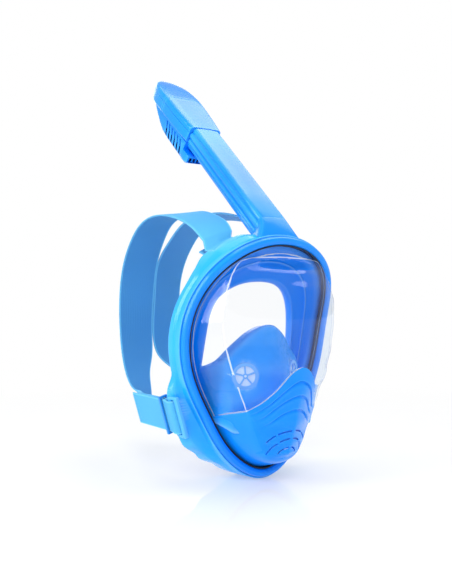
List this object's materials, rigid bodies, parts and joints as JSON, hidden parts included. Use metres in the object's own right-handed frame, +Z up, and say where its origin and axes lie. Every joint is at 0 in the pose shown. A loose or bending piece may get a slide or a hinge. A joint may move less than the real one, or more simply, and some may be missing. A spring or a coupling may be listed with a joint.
{
  "type": "snorkel mask",
  "caption": "Full-face snorkel mask: clear bowed window, vented chin cover, soft skirt, head straps and a pull-out dry-top snorkel that leans back.",
  "frame": {"origin": "centre of the small flat under the chin", "axes": "X across the face, +Y from the window back to the wearer, +Z up to the snorkel"},
  "size_m": [0.191, 0.299, 0.4559],
  "materials": {
    "body_blue": "high gloss",
    "frame_sky": "gloss, lighter sky blue",
    "lens_clear": "clear polycarbonate",
    "gasket_black": "matte",
    "silicone_blue": "satin silicone",
    "silicone_white": "translucent silicone",
    "strap_blue": "woven elastic",
    "slider_blue": "gloss",
    "float_white": "satin",
    "steel": "brushed"
  },
  "bodies": {
    "mask": {"front_bezel": "body_blue", "lens": "lens_clear", "chin_cover": "body_blue", "lens_gasket": "gasket_black", "face_skirt": "silicone_blue", "orinasal_pocket": "silicone_blue", "rear_frame": "frame_sky", "snorkel_neck": "body_blue", "frame_screws": "steel", "inhale_valve_seat_right": "silicone_blue", "inhale_valve_seat_left": "silicone_blue", "drain_valve_seat": "body_blue", "strap_right": "strap_blue", "strap_left": "strap_blue"},
    "inhale_disc_right": {"inhale_valve_disc_right": "silicone_white"},
    "inhale_disc_left": {"inhale_valve_disc_left": "silicone_white"},
    "drain_disc": {"drain_valve_disc": "silicone_white"},
    "slider_right": {"strap_slider_right": "slider_blue"},
    "slider_left": {"strap_slider_left": "slider_blue"},
    "snorkel": {"snorkel_tube": "body_blue", "tube_seal": "gasket_black", "cap_body": "body_blue", "cap_lid": "body_blue", "vent_housing": "body_blue", "inlet_grille": "body_blue", "float_seat": "body_blue", "cap_screws": "steel"},
    "float_unit": {"float": "float_white", "float_seal": "silicone_white"},
    "flap_right": {"exhaust_flap_right": "silicone_white"},
    "flap_left": {"exhaust_flap_left": "silicone_white"}
  },
  "joints": [
    {"name": "snorkel_pull", "type": "slide", "parent": "mask", "child": "snorkel", "axis": [0, 0.7431, 0.6691], "range_m": [0, 0.03]},
    {"name": "float_rise", "type": "slide", "parent": "snorkel", "child": "float_unit", "axis": [0, 0.7431, 0.6691], "range_m": [0, 0.006]},
    {"name": "exhaust_flap_right_hinge", "type": "hinge", "parent": "snorkel", "child": "flap_right", "pos_m": [-0.0069, 0.11042, 0.3669], "axis": [0, 0.6691, -0.7431], "range_deg": [0, 25]},
    {"name": "exhaust_flap_left_hinge", "type": "hinge", "parent": "snorkel", "child": "flap_left", "pos_m": [0.0069, 0.11042, 0.3669], "axis": [0, -0.6691, 0.7431], "range_deg": [0, 25]},
    {"name": "inhale_disc_right_lift", "type": "slide", "parent": "mask", "child": "inhale_disc_right", "axis": [0.5355, 0.8442, -0.0228], "range_m": [0, 0.0015]},
    {"name": "inhale_disc_left_lift", "type": "slide", "parent": "mask", "child": "inhale_disc_left", "axis": [-0.5355, 0.8442, -0.0228], "range_m": [0, 0.0015]},
    {"name": "drain_disc_lift", "type": "slide", "parent": "mask", "child": "drain_disc", "axis": [0, -0.72, -0.694], "range_m": [0, 0.0015]},
    {"name": "strap_slider_right_slide", "type": "slide", "parent": "mask", "child": "slider_right", "axis": [0, 1, 0], "range_m": [0, 0.035]},
    {"name": "strap_slider_left_slide", "type": "slide", "parent": "mask", "child": "slider_left", "axis": [0, 1, 0], "range_m": [0, 0.035]}
  ]
}
